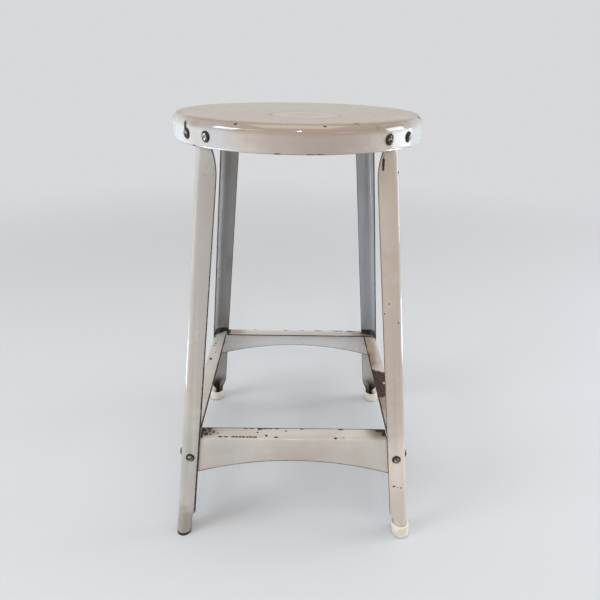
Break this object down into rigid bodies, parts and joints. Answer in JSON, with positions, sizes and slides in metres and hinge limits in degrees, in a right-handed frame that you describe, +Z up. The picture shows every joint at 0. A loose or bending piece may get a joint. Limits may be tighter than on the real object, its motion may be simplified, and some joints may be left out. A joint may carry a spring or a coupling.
{
  "type": "metal stool",
  "caption": "Round pressed-steel stool on splayed angle legs, with arched footrest stretchers, slotted screws and moulded foot caps.",
  "frame": {"origin": "floor level, in the middle of the footprint", "axes": "+Z up; the front is -Y; the feet stand on the diagonals"},
  "size_m": [0.3184, 0.3184, 0.526],
  "materials": {
    "paint": "worn semi-gloss enamel, warm grey",
    "screw_steel": "dark, aged",
    "nut_steel": "dull, aged",
    "cap_plastic": "ivory, yellowed"
  },
  "bodies": {
    "root": {"seat_pan": "paint", "front_left_leg": "paint", "front_left_rim_screws": "screw_steel", "front_left_rim_nuts": "nut_steel", "front_left_stretcher_screws": "screw_steel", "front_left_stretcher_nuts": "nut_steel", "front_right_leg": "paint", "front_right_rim_screws": "screw_steel", "front_right_rim_nuts": "nut_steel", "front_right_stretcher_screws": "screw_steel", "front_right_stretcher_nuts": "nut_steel", "front_right_foot_cap": "cap_plastic", "rear_left_leg": "paint", "rear_left_rim_screws": "screw_steel", "rear_left_rim_nuts": "nut_steel", "rear_left_stretcher_screws": "screw_steel", "rear_left_stretcher_nuts": "nut_steel", "rear_left_foot_cap": "cap_plastic", "rear_right_leg": "paint", "rear_right_rim_screws": "screw_steel", "rear_right_rim_nuts": "nut_steel", "rear_right_stretcher_screws": "screw_steel", "rear_right_stretcher_nuts": "nut_steel", "rear_right_foot_cap": "cap_plastic", "front_stretcher": "paint", "rear_stretcher": "paint", "left_stretcher": "paint", "right_stretcher": "paint"}
  },
  "joints": []
}
